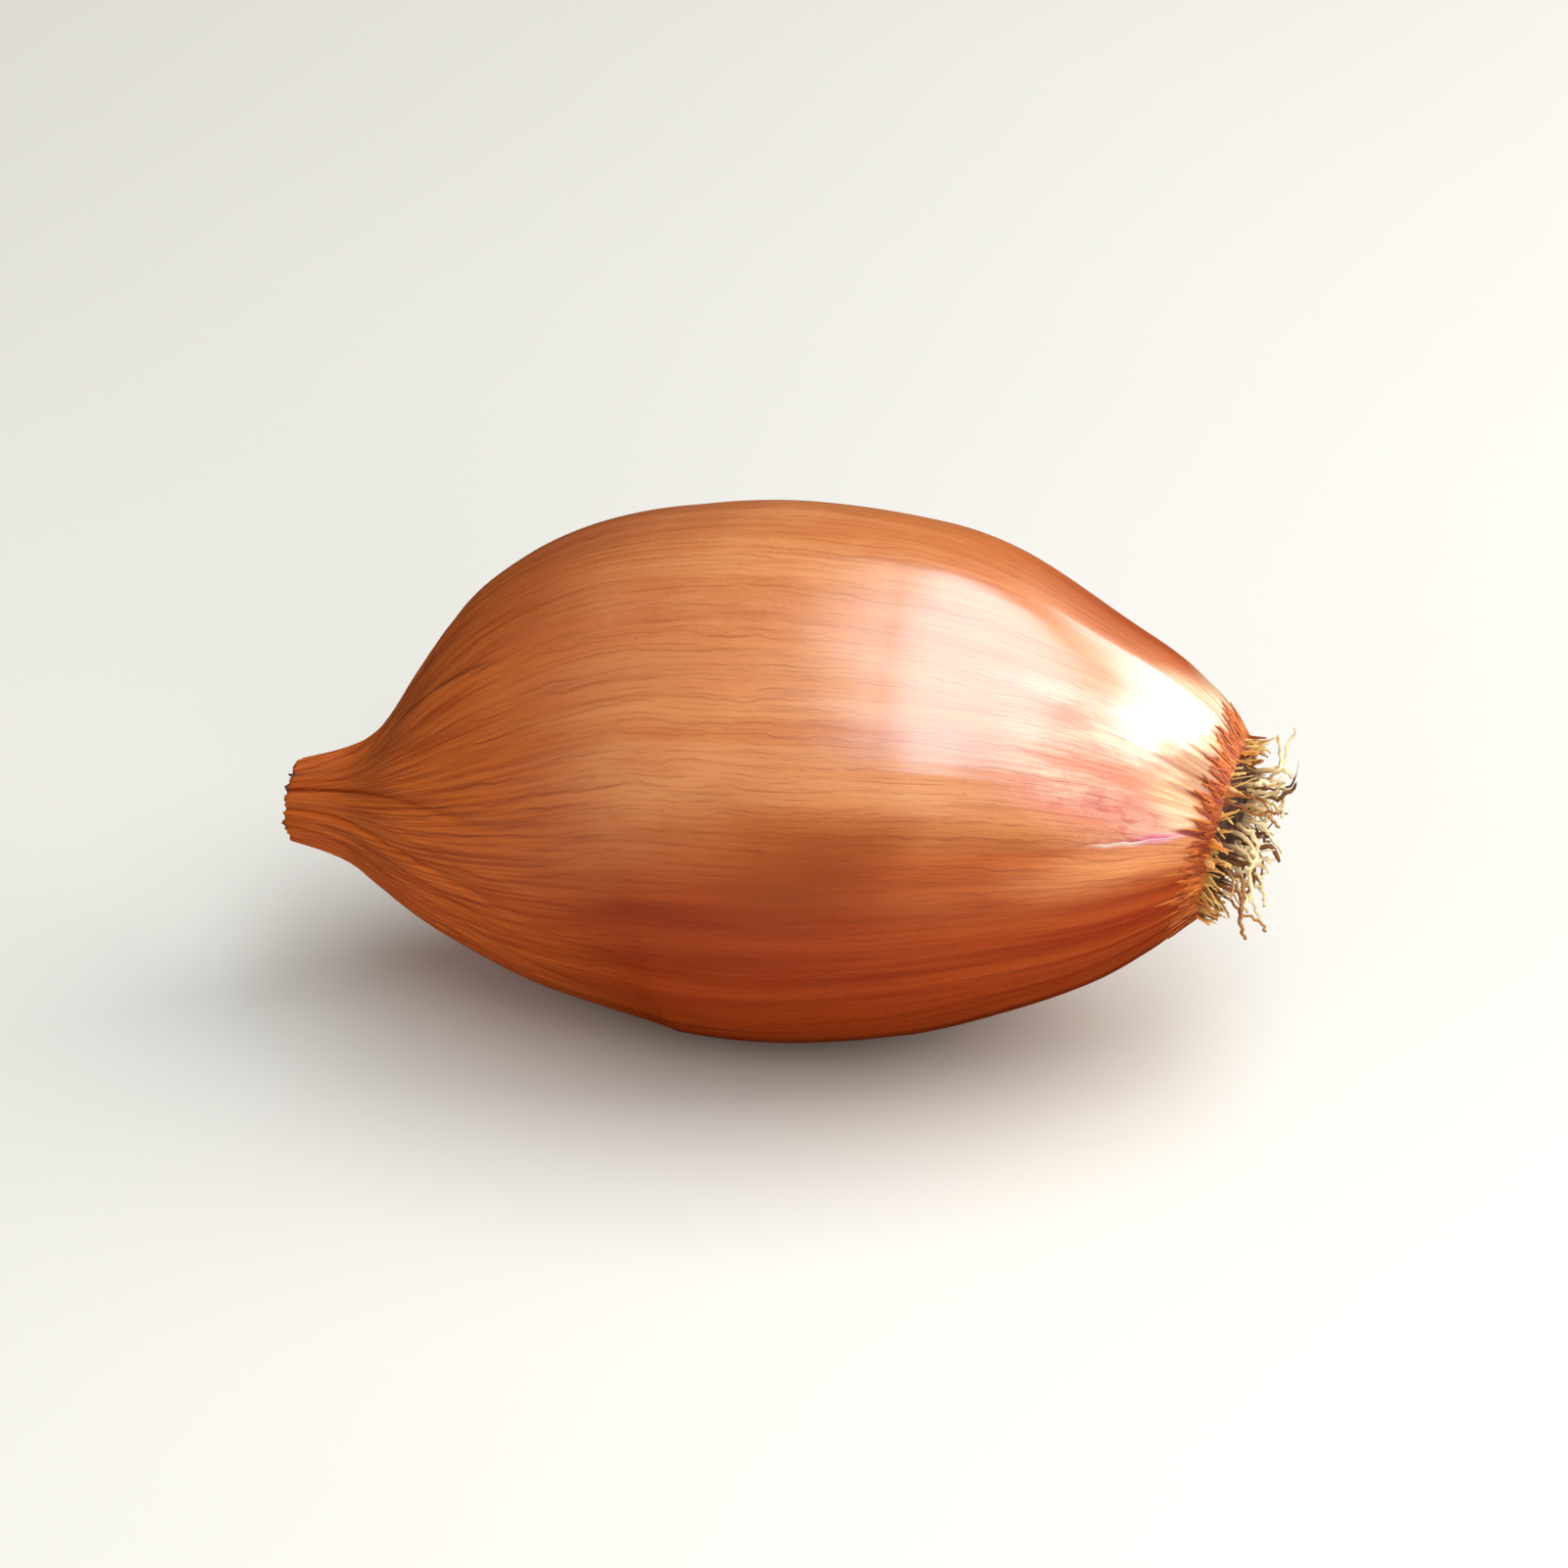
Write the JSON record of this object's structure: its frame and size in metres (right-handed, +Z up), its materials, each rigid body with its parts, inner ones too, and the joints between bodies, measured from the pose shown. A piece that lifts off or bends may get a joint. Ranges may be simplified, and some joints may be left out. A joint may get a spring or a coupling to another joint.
{
  "type": "shallot",
  "caption": "Whole long shallot in its dry papery skin, with a cut neck and a tuft of dry rootlets, lying on its side on a small flat spot.",
  "frame": {"origin": "middle of the shallot's outer box, on the table that it lies on", "axes": "+X along the bulb from the cut neck to the rootlets, +Z up from the table, -Y to the side that the picture shows"},
  "size_m": [0.07, 0.0362, 0.037],
  "materials": {
    "dry_skin": "satin",
    "rootlets": "matte"
  },
  "bodies": {
    "root": {"bulb": "dry_skin", "root_tuft": "rootlets"}
  },
  "joints": []
}
